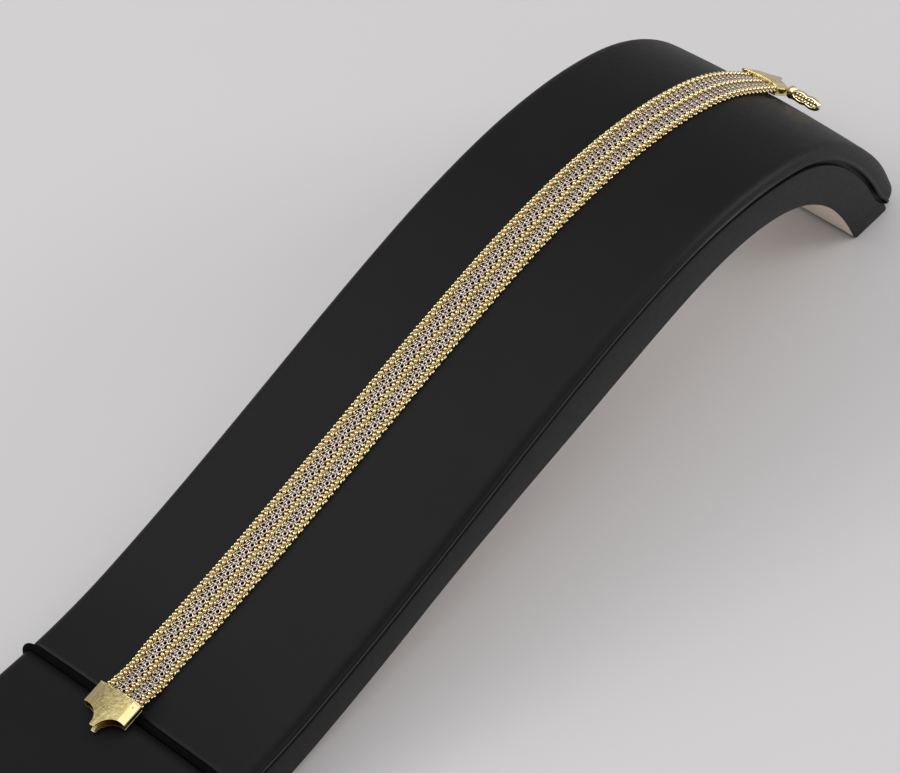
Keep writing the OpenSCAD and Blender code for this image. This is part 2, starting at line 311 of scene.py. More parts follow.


# Sheet gold, rolled: polished shoulders and rims, and a brushed, finely dented top, where the brushed mask is
# 1.
# The top's colour also gets painted shade, a darker olive in patches that follow the dents. The top's strokes
# run along the bracelet and are drawn coarser than real ones, so that they show.
def rolledSheet(name):
    look = sheetLook
    long, wide = look["stroke"]
    material, tree = newMaterial(name)
    coords = addNode(tree, "TexCoord").outputs["Object"]
    brushedAndShaded = addNode(tree, "Attribute", {"attribute_name": "brushedAndShaded"}).outputs["Fac"]
    strokes = addNode(tree, "Mapping", {"Scale": (1000 / long, 1000 / wide, 1000 / long)}, {"Vector": coords})
    strokes = addNode(tree, "TexNoise", {"Scale": 1.0, "Detail": 3.0}, {"Vector": strokes.outputs[0]})
    patch = addNode(tree, "TexNoise", {"Scale": 1000 / look["patch"], "Detail": 2.0}, {"Vector": coords})
    dents = addNode(tree, "TexNoise", {"Scale": 1000 / look["dent"], "Detail": 4.0, "Roughness": 0.65},
                    {"Vector": coords})
    uneven = addNode(tree, "Bump", {"Strength": 0.8, "Distance": look["dentDepth"] * mm},
                     {"Height": dents.outputs["Fac"]})
    tone = addNode(tree, "Mix", {"data_type": "RGBA", 6: linear(look["dull"]), 7: linear(look["bright"])},
                   {0: patch.outputs["Fac"]})
    least, most = look["shadePatches"]
    shadePatches = addNode(tree, "MapRange", {"From Min": 0.36, "From Max": 0.64, "To Min": least, "To Max": most},
                     {"Value": dents.outputs["Fac"]})
    # painted shade: the brushed top is darkened towards olive in patches
    paintedShade = addNode(tree, "Math", {"operation": "MULTIPLY"}, {0: brushedAndShaded, 1: shadePatches.outputs[0]})
    tone = addNode(tree, "Mix", {"data_type": "RGBA", 7: linear(look["brushedAndShaded"])},
                   {0: paintedShade.outputs[0], 6: tone.outputs[2]})
    rough = addNode(tree, "MapRange", {"To Min": look["rough"][0], "To Max": look["rough"][1]},
                    {"Value": brushedAndShaded})
    height = addNode(tree, "Math", {"operation": "MULTIPLY"}, {0: strokes.outputs["Fac"], 1: brushedAndShaded})
    bump = addNode(tree, "Bump", {"Strength": 0.6, "Distance": look["strokeDepth"] * mm},
                   {"Height": height.outputs[0], "Normal": uneven.outputs[0]})
    shader = addNode(tree, "BsdfPrincipled", {"Metallic": 1.0},
                     {"Base Color": tone.outputs[2], "Roughness": rough.outputs[0],
                      "Normal": bump.outputs[0]})
    finishMaterial(tree, shader)
    return material


insideLook = {"rim": "#e6d6a0", "dark": "#b3762f", "light": "#dca65c", "patch": 1.0, "rough": (0.18, 0.34)}


# Inside of a cap: rougher away from the rims (where "deep" is 0), as if left unpolished after soldering, and
# painted a browner gold there as painted shade for the light bounced between its gold walls
def paintedShadeInside(name):
    look = insideLook
    material, tree = newMaterial(name)
    coords = addNode(tree, "TexCoord").outputs["Object"]
    deep = addNode(tree, "Attribute", {"attribute_name": "deep"}).outputs["Fac"]
    patch = addNode(tree, "TexNoise", {"Scale": 1000 / look["patch"], "Detail": 3.0}, {"Vector": coords})
    # painted shade: brown gold deep inside the cap
    brown = addNode(tree, "Mix", {"data_type": "RGBA", 6: linear(look["dark"]), 7: linear(look["light"])},
                    {0: patch.outputs["Fac"]})
    tone = addNode(tree, "Mix", {"data_type": "RGBA", 6: linear(look["rim"])}, {0: deep, 7: brown.outputs[2]})
    rough = addNode(tree, "MapRange", {"To Min": look["rough"][0], "To Max": look["rough"][1]},
                    {"Value": deep})
    shader = addNode(tree, "BsdfPrincipled", {"Metallic": 1.0},
                     {"Base Color": tone.outputs[2], "Roughness": rough.outputs[0]})
    finishMaterial(tree, shader)
    return material


sleeveLook = {"dark": "#030303", "light": "#070707", "rough": 0.9, "shine": 0.06, "ribDepth": 0.06}


# Elastic: a rubber core in a braided sleeve, dull and black with fine ribs. "along" counts them round
# the loop.
def braidedSleeve(name):
    look = sleeveLook
    material, tree = newMaterial(name)
    along = addNode(tree, "Attribute", {"attribute_name": "along"}).outputs["Fac"]
    wave = addNode(tree, "Math", {"operation": "SINE"}, {0: along})
    ribs = addNode(tree, "MapRange", {"From Min": -1.0}, {"Value": wave.outputs[0]})
    tone = addNode(tree, "Mix", {"data_type": "RGBA", 6: linear(look["dark"]), 7: linear(look["light"])},
                   {0: ribs.outputs[0]})
    bump = addNode(tree, "Bump", {"Strength": 0.3, "Distance": look["ribDepth"] * mm},
                   {"Height": ribs.outputs[0]})
    shader = addNode(tree, "BsdfPrincipled",
                     {"Roughness": look["rough"], "Specular IOR Level": look["shine"]},
                     {"Base Color": tone.outputs[2], "Normal": bump.outputs[0]})
    finishMaterial(tree, shader)
    return material


cardLook = {"dark": "#d9cabb", "light": "#ece0d3", "fibre": 1.2, "fibreDepth": 0.05, "rough": 0.8}


# Uncoated card: short fibres pressed flat, so a faint cloudy cream
def pressedCard(name):
    look = cardLook
    material, tree = newMaterial(name)
    coords = addNode(tree, "TexCoord").outputs["Object"]
    fibre = addNode(tree, "TexNoise", {"Scale": 1000 / look["fibre"], "Detail": 5.0}, {"Vector": coords})
    tone = addNode(tree, "Mix", {"data_type": "RGBA", 6: linear(look["dark"]), 7: linear(look["light"])},
                   {0: fibre.outputs["Fac"]})
    bump = addNode(tree, "Bump", {"Strength": 0.2, "Distance": look["fibreDepth"] * mm},
                   {"Height": fibre.outputs["Fac"]})
    shader = addNode(tree, "BsdfPrincipled", {"Roughness": look["rough"]},
                     {"Base Color": tone.outputs[2], "Normal": bump.outputs[0]})
    finishMaterial(tree, shader)
    return material


leather = embossedLeatherette("embossedLeatherette")
yellowWire = drawnWire("drawnYellowGoldWire", "yellow")
whiteWire = drawnWire("drawnWhiteGoldWire", "white")
yellowSheet = rolledSheet("rolledYellowGoldSheet")
insideSheet = paintedShadeInside("solderedYellowGoldInside")
sleeve = braidedSleeve("braidedElasticSleeve")
card = pressedCard("pressedCreamCard")
print("materials made")

padShape = {
    "width": 47, "thick": 3.4, "crown": 0.7, "end": 252.5, "edge": 2.6, "drop": 1.8, "ridge": 0.34,
    "cordAt": 27.8, "cordReach": 0.85, "squeeze": 0.5,  # the elastic, and how far it draws the sides in
    "step": 1.5, "topSteps": 28,
    "puckerDepth": 0.05, "puckerFrom": 1.2, "puckerReach": 5,  # puckers beside the elastic
    # the padding thickens towards the far foot and hangs over the wall there
    "footFrom": 218, "footReach": 26, "footRise": 1.2, "hangFrom": 192, "hangReach": 34, "hang": 1.4,
    "hangEnd": (9, 8),  # where the overhang fades out, as a length before the end, and over what length
    "lipHighlightTo": 165, "lipHighlightFade": 35,  # where the painted highlight line on the lip ends
}


# How far the top sinks from its crown at y across
def padCrown(y):
    return -padShape["crown"] * (2 * y / padShape["width"]) ** 2


# Quarter circle from 1 at an end of the panel down to 0 at the given reach from it
def endRoll(s, reach):
    t = np.clip(np.minimum(s, padShape["end"] - s), 0, reach) / reach
    return 1 - np.sqrt(np.clip(1 - (1 - t) ** 2, 0, 1))


# Depth of the crease under the elastic: a half circle round its line
def cordCrease(s):
    return np.sqrt(np.clip(padShape["cordReach"] ** 2 - (s - padShape["cordAt"]) ** 2, 0, None))


# How far the padding hangs over the wall: eased in, and out again before the foot
def padHang(s):
    p = padShape
    before, fade = p["hangEnd"]
    return p["hang"] * ease((s - p["hangFrom"]) / p["hangReach"]) * (1 - ease((s - p["end"] + before) / fade))


# Ring round the panel at each station: crowned top, rolled edge as a quarter ellipse, lip, tucked
# underside. Puckers beside the elastic and faint ripples are sums of sines.
def makePanel():
    p = padShape
    end = p["edge"] * (1 - np.cos(arc(0, 90, 9)))
    crease = p["cordAt"] + p["cordReach"] * np.sin(arc(-90, 90, 17))
    s = np.concatenate([end, np.arange(4, 26.5, p["step"]), crease, np.arange(29.4, 249, p["step"]),
                        p["end"] - end[::-1]])[:, None]
    roll = endRoll(s, p["edge"])
    half = p["width"] / 2 - 2 * roll - np.minimum(cordCrease(s), p["squeeze"])
    flat = half - p["edge"]
    topY = flat * np.linspace(-1, 1, p["topSteps"] + 1)[None, :]
    rise = p["footRise"] * ease((s - p["footFrom"]) / p["footReach"])
    hang = padHang(s)
    topZ = padCrown(topY) - (p["drop"] + rise) * roll + rise - cordCrease(s)
    e = topZ[:, -1:]
    drop = np.minimum(p["drop"] + rise, np.maximum(0.3, p["thick"] + e - 0.9)) + hang
    a = arc(0, 90, 11)[None, 1:]
    rollY = flat + (p["edge"] - p["ridge"]) * np.sin(a)
    rollZ = e - drop * (1 - np.cos(a))
    b = arc(-50, 130, 7)[None, :]
    lipY = half - p["ridge"] * (1 - np.cos(b))
    lipZ = np.maximum(e - drop - p["ridge"] * (1.2 + np.sin(b)), -p["thick"] + 0.12 - hang)
    tuckY = np.concatenate([lipY, half - 1.3], axis=1)
    tuckZ = np.concatenate([lipZ, -p["thick"] + 0 * half], axis=1)
    y = np.concatenate([topY, rollY, tuckY, -tuckY[:, ::-1], -rollY[:, ::-1]], axis=1)
    z = np.concatenate([topZ, rollZ, tuckZ, tuckZ[:, ::-1], rollZ[:, ::-1]], axis=1)
    fromCord = np.abs(s - p["cordAt"])
    pucker = np.exp(-fromCord / p["puckerReach"]) * (fromCord > p["puckerFrom"])
    pucker = pucker * np.sin(1.7 * y + 0.6 * np.sin(0.9 * y))
    ripple = 0.4 * np.sin(0.21 * s + 0.9 * np.sin(0.11 * y)) + 0.3 * np.sin(0.083 * s - 0.35 * y)
    soft = np.clip((z + 2.4) / 1.2, 0, 1)
    points = placeOnRamp(s, y, z + p["puckerDepth"] * soft * (pucker + ripple - 1))
    side = np.concatenate([np.linspace(0, 0.6, 10) ** 3, [0.6, 1, 1, 1, 1, 0.5, 0, 0]])  # roll, then lip
    # 1 along the roll and lip: glossier film and a painted highlight line, faded out towards the far end
    lipGlossAndHighlight = np.concatenate([np.zeros(topY.shape[1]), side, side[::-1]])[None, :]
    return points, lipGlossAndHighlight * (1 - ease((s - p["lipHighlightTo"]) / p["lipHighlightFade"]))


points, lipGlossAndHighlight = makePanel()
panel = makeLoft("padded_panel", points, leather, "black_leatherette")
addAttribute(panel, "lipGlossAndHighlight", lipGlossAndHighlight)
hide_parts("stand_pad")
print("panel made", len(panel.data.polygons))

wallShape = {
    "half": 23, "top": -3.5, "from": 1, "bevel": 0.3, "round": 0.35, "foot": 0.25, "toe": 1.1, "step": 1.5,
    # the groove under the padding's lip: height, depth, and where and how much it thins towards the far foot
    "groove": 1.5, "grooveDeep": 0.9, "thinFrom": 180, "thinReach": 45, "thin": 0.72, "grooveTo": 248.5,
    # the cord's notch, and the recess for the board between two hems
    "notch": 1.2, "notchDeep": 2.8, "hem": 0.4, "recess": 1.0, "recessFrom": 29.4, "recessTo": 247.2,
}


# Ring round the slab at each station: groove under the lip, rounded corner, side, rounded hem, recess
def makeWalls():
    w, cordAt = wallShape, padShape["cordAt"]
    ends = np.linspace(247, 260, 1301)
    last = ends[np.argmax(tableOff(ends) > w["top"] - w["toe"])]
    s = np.sort(np.concatenate([
        w["from"] + np.array([0, 0.1, 0.3]), np.arange(3, 26, 3),
        cordAt + (w["notch"] + np.array([0, 0.01])), cordAt - (w["notch"] + np.array([0, 0.01])),
        w["recessFrom"] + np.array([0, 0.01]), np.arange(31, 246, w["step"]),
        w["recessTo"] - np.array([0, 0.01]), np.linspace(248, last, 9)]))[:, None]
    inset = w["bevel"] * np.clip((w["from"] + w["bevel"] - s) / w["bevel"], 0, 1) ** 2
    top = w["top"] - inset
    low = np.maximum(-rampDepth(s), tableOff(s))
    low = np.where(np.abs(s - cordAt) < w["notch"] + 0.005, -rampLine["depth"] + w["notchDeep"], low)
    recessed = (s > w["recessFrom"] + 0.005) & (s < w["recessTo"] - 0.005)
    roof = np.minimum(np.where(recessed, low + w["recess"], low), top - 0.2)
    covered = ease((s - w["from"]) / 3) * (1 - ease((s - w["grooveTo"]) / 3))
    thin = 1 - w["thin"] * ease((s - w["thinFrom"]) / w["thinReach"])
    ledge = top - (w["groove"] * thin + padHang(s)) * covered
    size = np.clip((ledge - low - 0.05) / (w["round"] + w["foot"]), 0, 1)
    r, f = w["round"] * size, w["foot"] * size
    half = w["half"] - inset
    neck = half - r - (w["grooveDeep"] - w["round"]) * covered
    hem = half - w["hem"]
    a = arc(0, 90, 7)[None, :]
    y = [neck, neck - 0.001, half - r + r * np.sin(a), half - f + f * np.cos(a), hem, hem]
    z = [top, ledge - 0.001, ledge - r + r * np.cos(a), low + f - f * np.sin(a), low, roof]
    y, z = np.concatenate(y, axis=1), np.concatenate(z, axis=1)
    return placeOnRamp(s, np.concatenate([y, -y[:, ::-1]], axis=1), np.concatenate([z, z[:, ::-1]], axis=1))


# The board's section is a plain strip, carried along the arch inside the recess
def makeBoard():
    w, play = wallShape, 0.1
    s = np.concatenate([[w["recessFrom"] + 0.2], np.arange(31, 246, w["step"]), [w["recessTo"] - 0.3]])
    s = s[:, None]
    half = w["half"] - w["hem"] - play
    low = np.maximum(-rampDepth(s), tableOff(s) + play)
    roof = low + w["recess"] - play
    return placeOnRamp(s, np.array([[half, half, -half, -half]]),
                       np.concatenate([roof, low + 0.02, low + 0.02, roof], axis=1))


walls = makeLoft("covered_walls", makeWalls(), leather, "black_leatherette", sharp=50)
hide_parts("stand_core")
board = makeLoft("arch_board", makeBoard(), card, "cream_board", sharp=50)
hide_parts("underside_board")
print("walls and board made")

elasticShape = {
    "radius": 0.66, "sides": 12, "half": 23.9, "corner": 2.2, "turn": 1.5, "low": -12.05, "sink": 0.3,
    "ribs": 0.4,
}


# Closed loop in the section across the ramp: over the crowned top, round a quarter circle, down the wall,
# round a tighter one, and straight back underneath. A circle is carried along it. Gives the points and
# the ribs' phase.
def makeElastic():
    e = elasticShape
    line, foot = e["half"] - e["corner"], e["half"] - e["turn"]
    a = arc(0, 90, 9)[1:]
    y = np.linspace(-line, line, 41)
    over = np.stack([y, padCrown(y) - e["sink"]], axis=1)
    upper = [line + e["corner"] * np.sin(a), over[-1, 1] - e["corner"] * (1 - np.cos(a))]
    upper = np.stack(upper, axis=1)
    down = np.linspace(upper[-1, 1], e["low"] + e["turn"], 12)[1:]
    down = np.stack([np.full(len(down), e["half"]), down], axis=1)
    lower = np.stack([foot + e["turn"] * np.cos(a), e["low"] + e["turn"] * (1 - np.sin(a))], axis=1)
    under = np.stack([np.linspace(foot, -foot, 41)[1:-1], np.full(39, e["low"])], axis=1)
    side = np.concatenate([upper, down, lower])
    loop = np.concatenate([over, side, under, (side * [-1, 1])[::-1]])
    step = np.roll(loop, -1, axis=0) - np.roll(loop, 1, axis=0)
    step /= np.linalg.norm(step, axis=1)[:, None]
    out = np.stack([-step[:, 1], step[:, 0]], axis=1)
    k = 2 * np.pi * np.arange(e["sides"]) / e["sides"]
    c = loop[:, None, :] + e["radius"] * np.cos(k)[None, :, None] * out[:, None, :]
    points = placeOnRamp(padShape["cordAt"] + e["radius"] * np.sin(k)[None, :], c[..., 0], c[..., 1])
    along = np.concatenate([[0], np.cumsum(np.linalg.norm(np.diff(loop, axis=0), axis=1))])
    phase = along / along[-1] * np.round(along[-1] / e["ribs"]) * 2 * np.pi
    return points, np.repeat(phase, e["sides"])


points, phase = makeElastic()
quads = gridFaces(*points.shape[:2], True, True, flip=True)
elastic = makePiece("elastic_loop", points, quads, sleeve, "elastic")
addAttribute(elastic, "along", phase)
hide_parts("elastic_cord")
print("elastic made")

# The band's path over the panel; side is its place across the ramp, angles in degrees
bandShape = {
    "from": 28.7, "to": 216.5, "side": 2.2, "drift": -0.015, "driftFrom": 118, "lift": 0.6,
    "boxYaw": 2.7, "boxPitch": -8, "tongueYaw": -6, "tonguePitch": 34, "tongueRoll": -3,
    # towards its ends the band moves aside, rises to the caps and narrows, over these reaches
    "aside": 1.1, "boxLift": 1.6, "tongueLift": 0.8, "boxNarrow": 0.04, "tongueNarrow": 0.03,
    "boxReach": 13, "liftReach": 8, "tongueReach": 14,
}


# 1 at the box, eased to 0 at the given reach from it
def nearEnd(s, reach):
    return 1 - ease((s - bandShape["from"]) / reach)


# 0 up to the tongue's reach, then the square of the way to the tongue
def farEnd(s):
    b = bandShape
    return np.clip((s - b["to"] + b["tongueReach"]) / b["tongueReach"], 0, None) ** 2


# The middle of the band across the ramp: a slow straight drift, with a step aside at the box
def bandY(s):
    b = bandShape
    return b["side"] + b["drift"] * (s - b["driftFrom"]) - b["aside"] * nearEnd(s, b["boxReach"])


# Its height over the panel's top: even, rising at both ends
def bandOff(s):
    b = bandShape
    return b["lift"] + b["boxLift"] * nearEnd(s, b["liftReach"]) + b["tongueLift"] * farEnd(s)


# A place on the band: s along, v across, off above its middle. Its ends turn a little with the clasp's
# halves.
def placeOnBand(s, v, off):
    b = bandShape
    boxYaw, tongueYaw, tongueRoll = np.sin(np.radians([b["boxYaw"], b["tongueYaw"], b["tongueRoll"]]))
    yaw = boxYaw * nearEnd(s, b["liftReach"]) + tongueYaw * farEnd(s)
    across = v * (1 - b["boxNarrow"] * nearEnd(s, b["boxReach"]) - b["tongueNarrow"] * farEnd(s))
    return placeOnRamp(s - v * yaw, bandY(s) + across, bandOff(s) + off + v * tongueRoll * farEnd(s))


# Oval rings: centre + a·cos(t)·first + b·sin(t)·second, and round wire on each. Arrays hold one ring
# per row.
def ovalRings(centre, first, second, a, b, wire, steps, sides):
    t = 2 * np.pi * np.arange(steps) / steps
    normal = np.cross(first, second)
    c, s = np.cos(t)[:, None], np.sin(t)[:, None]
    line = centre[:, None, :] + a * c[None] * first + b * s[None] * second
    along = -a * s * first + b * c * second
    along /= np.linalg.norm(along, axis=1)[:, None]
    out = np.cross(along, normal)
    out, normal = np.broadcast_to(out, line.shape), np.broadcast_to(normal, line.shape)
    return tubePoints(line, out, normal, wire, sides)


linkShape = {
    "pitch": 1.65, "steps": 10, "sides": 6, "over": 0.4,  # how far the rows reach into the caps
    # Rings that come once in each pitch: place along in pitches, place across, level, half length, half
    # breadth, wire, turn in the band's plane, tip of the fore end, and lay (0 lies flat, 90 stands on edge)
    "yellow": [
        (-0.03, -0.01, 0.15, 0.10, 0.12, 0.33, 80, 0, 90), (-0.50, 0.33, 0.15, 0.10, 0.12, 0.33, 80, 0, 90),
        (-0.01, 0.76, -0.12, 0.30, 0.12, 0.18, -24, 0, 80), (0.39, -0.34, -0.16, 0.28, 0.12, 0.17, 28, 0, 90),
        (0.24, 0.38, -0.46, 0.46, 0.22, 0.19, 4, 0, 0), (-0.24, -0.02, -0.46, 0.46, 0.22, 0.19, 4, 0, 0),
    ],
    "farSide": [(0.45, 0.86, -0.32, 0.20, 0.10, 0.19, 10, 0, 80)],
    "nearSide": [(-0.23, -0.44, -0.40, 0.22, 0.10, 0.18, 0, 0, 100)],
    "white": [
        (0.00, 0.46, 0.02, 0.46, 0.39, 0.14, -15, -6, -8), (0.49, -0.46, 0.02, 0.46, 0.39, 0.14, -15, 6, 8),
        (-0.22, -0.08, 0.04, 0.20, 0.12, 0.28, 50, 0, 90), (0.24, 0.04, -0.16, 0.24, 0.10, 0.20, -50, 0, 90),
        (0.50, 0.38, -0.26, 0.30, 0.10, 0.19, 0, 0, 90), (0.00, -0.36, -0.22, 0.30, 0.10, 0.20, 0, 0, 90),
        (0.50, 0.74, -0.22, 0.24, 0.10, 0.16, 0, 0, 90), (0.04, -0.74, -0.08, 0.28, 0.10, 0.17, 14, 0, 90),
    ],
    # how far the weave is stretched, in pitches, at stations along the ramp
    "driftAt": (28, 40, 54, 68, 82, 96, 110, 124, 138, 152, 166, 217),
    "drift": (0.27, 0.20, 0.12, 0.03, 0.0, 0.05, 0.13, 0.19, 0.18, 0.07, -0.12, -0.3),
    # kinds of rings, piece, node, place across, place along in pitches
    "rows": [
        (("yellow", "farSide"), "far_edge_links", "yellow_edge_row_far", 2.84, 0.74),
        (("white",), "far_white_links", "white_row_far", 1.41, 0.57),
        (("yellow",), "centre_links", "yellow_centre_row", -0.48, 0.32),
        (("white",), "near_white_links", "white_row_near", -1.86, 0.57),
        (("yellow", "nearSide"), "near_edge_links", "yellow_edge_row_near", -3.72, 0.64),
    ],
}


# White rows are two staggered lines of flat rings, tied by short thick links between and under them.
# Yellow rows are two staggered lines of short thick links that stand up as round grains, over flat rings.
def makeLinks(kinds, middle, phase):
    link = linkShape
    first = np.ceil((bandShape["from"] - link["over"]) / link["pitch"] - link["drift"][0] - phase)
    last = np.floor((bandShape["to"] + link["over"]) / link["pitch"] - link["drift"][-1] - phase)
    k = np.arange(first, last + 1)
    up = np.array([0, 0, 1.0])
    parts = []
    for at, aside, level, longHalf, broadHalf, wire, *angles in sum((link[kind] for kind in kinds), []):
        slant, tip, lay = np.radians(angles)
        along = link["pitch"] * (k + phase + at)
        centre = np.stack([along, np.full_like(k, middle + aside), np.full_like(k, level)], axis=1)
        fore = np.array([np.cos(slant) * np.cos(tip), np.sin(slant) * np.cos(tip), np.sin(tip)])
        flat = unit(np.cross(up, fore))
        aloft = np.cos(lay) * flat + np.sin(lay) * np.cross(fore, flat)
        parts.append(ovalRings(centre, fore, aloft, longHalf, broadHalf, wire, link["steps"], link["sides"]))
    points = np.concatenate([rings.reshape(-1, 3) for rings in parts])
    one = gridFaces(link["steps"], link["sides"], True, True)
    starts = link["steps"] * link["sides"] * np.arange(len(parts) * len(k))
    quads = (one[None, :, :] + starts[:, None, None]).reshape(-1, 4)
    stretch = link["pitch"] * np.interp(points[:, 0], link["driftAt"], link["drift"])
    return placeOnBand(points[:, 0] + stretch, points[:, 1], points[:, 2]), quads


for kinds, name, node, middle, phase in linkShape["rows"]:
    points, quads = makeLinks(kinds, middle, phase)
    wire = yellowWire if "yellow" in kinds else whiteWire
    row = makePiece(name, points, quads, wire, kinds[0] + "_gold")
    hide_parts(node)
    print(name, "triangles", 2 * len(quads))

capShape = {
    "width": 8.6, "long": 7.8, "high": 2.3, "sheet": 0.3, "rim": 0.07, "scoop": 3.2, "point": 0.5,
    "lip": 0.09, "crown": 0.3,
    "near": (1.35, 0.7), "far": (0.9, 0.4),  # width and drop of the two shoulders
    "plate": 0.42, "seam": 0.07,  # the bottom plate's height, and the groove over it
    "opening": (3.1, 4.3),  # half width of the tongue's opening in the base, and where it starts
    "wall": (1.0, 1.3), "wallIn": 0.28,  # where the inner wall begins and ends, and its distance inside
    "bracket": 0.1,  # how much the bracket's blunt point is rounded
}


# From the box half's own frame (x out of the band, y across, z up) to the ramp
def atBox(p):
    b = bandShape
    p = np.asarray(p, float) * [-1, 1, 1] - [0, 0, capShape["high"] / 2]
    turned = p @ (turn(1, b["boxPitch"]) @ turn(2, b["boxYaw"])).T
    return turned + placeOnRamp(b["from"], bandY(b["from"]), bandOff(b["from"]))


# The same for the tongue half
def atTongue(p):
    b = bandShape
    p = np.asarray(p, float) - [0, 0, capShape["high"] / 2]
    turned = p @ (turn(1, b["tonguePitch"]) @ turn(2, b["tongueYaw"]) @ turn(0, b["tongueRoll"])).T
    return turned + placeOnRamp(b["to"], bandY(b["to"]), bandOff(b["to"]))


# Length of the cap at v: a curly bracket, two round scoops either side of a blunt point
def capReach(v):
    c = capShape
    away = np.abs(v) - c["point"] - c["scoop"]
    scoop = c["long"] - c["bracket"] - np.sqrt(np.clip(c["scoop"] ** 2 - away ** 2, 0, None))
    tip = c["long"] - c["bracket"] * (np.abs(v) / c["point"]) ** 4
    return np.where(np.abs(v) <= c["point"], tip, scoop)


# One side of the cap's section from the middle of the top round to the middle of the base: v outward, z up.
# A flat top, a sloping shoulder, the side wall with the groove over the bottom plate, and the base.
def capHalf(shoulder, drop):
    c = capShape
    half, start = c["width"] / 2, c["width"] / 2 - shoulder
    inner = c["point"] + c["scoop"] - c["scoop"] * np.cos(arc(0, 180, 40))
    vIn = np.concatenate([np.linspace(0, c["point"], 5)[:-1], inner[inner < start - 0.1]])
    knee = np.array([
        (-0.12, 0), (-0.03, 0.01), (0.06, 0.045), (0.13, 0.11), (0.5, 0.5), (0.87, 0.88), (0.95, 0.98),
        (1, 1.15)])
    p, m = c["plate"], c["seam"]
    wall = np.array([
        (0, (c["high"] - drop) * 0.75), (0, p + 0.12), (-m, p + 0.06), (-m, p), (0, p - 0.05), (0, 0.06),
        (-0.06, 0)])
    topZ = c["high"] - c["crown"] * (vIn / half) ** 2
    edge = c["high"] - c["crown"] * (start / half) ** 2
    v = np.concatenate([vIn, start + shoulder * knee[:, 0], half + wall[:, 0]])
    z = np.concatenate([topZ, edge - (edge - c["high"] + drop) * knee[:, 1], wall[:, 1]])
    base = np.concatenate([vIn, inner[(inner >= start - 0.1) & (inner < half - 0.1)]])[::-1]
    onTop = np.concatenate([np.ones(len(vIn)), np.zeros(len(v) - len(vIn) + len(base))])
    return np.concatenate([v, base]), np.concatenate([z, np.zeros(len(base))]), onTop


# The section carried from the band to the bracket's edge, with a thin raised lip at the band.
# Gives the points, 1 on the brushed top, and how deep inside each point lies.
def makeCap(openBelow):
    c = capShape
    vFar, zFar, topFar = capHalf(*c["far"])
    vNear, zNear, topNear = capHalf(*c["near"])
    v = np.concatenate([vFar, -vNear[1:-1][::-1]])
    z = np.concatenate([zFar, zNear[1:-1][::-1]])
    onTop = np.concatenate([topFar, topNear[1:-1][::-1]])
    reach = capReach(v)
    if openBelow:
        reach = np.where((z < 0.01) & (np.abs(v) < c["opening"][0]), c["opening"][1], reach)
    fixed = np.array([0, 0.04, 0.22, 0.27])  # rings that make the lip
    t = np.concatenate([np.linspace(0, 1, 13)[1:-1], [0.985, 1]])
    rest = fixed[-1] + t[:, None] * (reach - fixed[-1])[None, :]
    u = np.concatenate([np.repeat(fixed[:, None], len(v), 1), rest])
    dv, dz = np.roll(v, -1) - np.roll(v, 1), np.roll(z, -1) - np.roll(z, 1)
    out = np.stack([-dz, dv], axis=1) / np.hypot(dv, dz)[:, None]
    lip = np.where(u < 0.25, c["lip"], 0) * np.where(u < 0.02, 0.4, 1) * (z[None, :] > 0.6)
    grid = np.stack([u, v[None, :] + lip * out[None, :, 0], z[None, :] + lip * out[None, :, 1]], axis=-1)
    deep = np.clip((reach - u - 0.7) / 1.3, 0, 1) * np.clip(u - 0.4, 0, 1)
    return grid, onTop[None, :] * (u > 0.26), deep


# Gives a cap's surface the sheet's thickness, with its own material inside, and eases its cut edges
def finishSheet(piece):
    solid = piece.modifiers.new("sheet", "SOLIDIFY")
    solid.thickness, solid.offset, solid.use_even_offset = capShape["sheet"] * mm, -1, False
    solid.material_offset = 1
    edge = piece.modifiers.new("rim", "BEVEL")
    edge.width, edge.segments = capShape["rim"] * mm, 2
    edge.limit_method, edge.angle_limit = "ANGLE", np.radians(50)


# Inner wall of a cap, which the rows are soldered to: a thin box, narrower at the top
def innerWall(name, toWorld, flip):
    c = capShape
    v, low, high = c["width"] / 2 - c["wallIn"], c["wallIn"], c["high"] - c["wallIn"]
    section = ((-v, low), (v, low), (0.86 * v, high), (-0.86 * v, high))
    corners = np.array([(u, a, b) for u in c["wall"] for a, b in section])
    faces = [(0, 3, 2, 1), (4, 5, 6, 7), (0, 1, 5, 4), (1, 2, 6, 5), (2, 3, 7, 6), (3, 0, 4, 7)]
    faces = [f[::-1] if flip else f for f in faces]
    return makePiece(name, toWorld(corners), faces, yellowSheet, "yellow_gold", smooth=False)


for name, toWorld, node, flip in (
        ("box_half", atBox, "box_cap", True), ("tongue_half", atTongue, "tongue_cap", False)):
    grid, brushedAndShaded, deep = makeCap(node == "tongue_cap")
    quads = gridFaces(*grid.shape[:2], closeCols=True, flip=flip)
    cap = makePiece(name, toWorld(grid), quads, yellowSheet, "yellow_gold", sharp=40)
    addAttribute(cap, "brushedAndShaded", brushedAndShaded)
    addAttribute(cap, "deep", deep)
    cap.data.materials.append(insideSheet)
    finishSheet(cap)
    wall = innerWall(name + "_wall", toWorld, flip)
    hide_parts(node)
    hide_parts(node)
print("caps made")

tongueShape = {
    "leaf": 0.35, "wide": 5.6, "root": 4.6, "long": 8.5, "high": 1.2, "bend": 14, "from": 1.15, "across": 9,
}


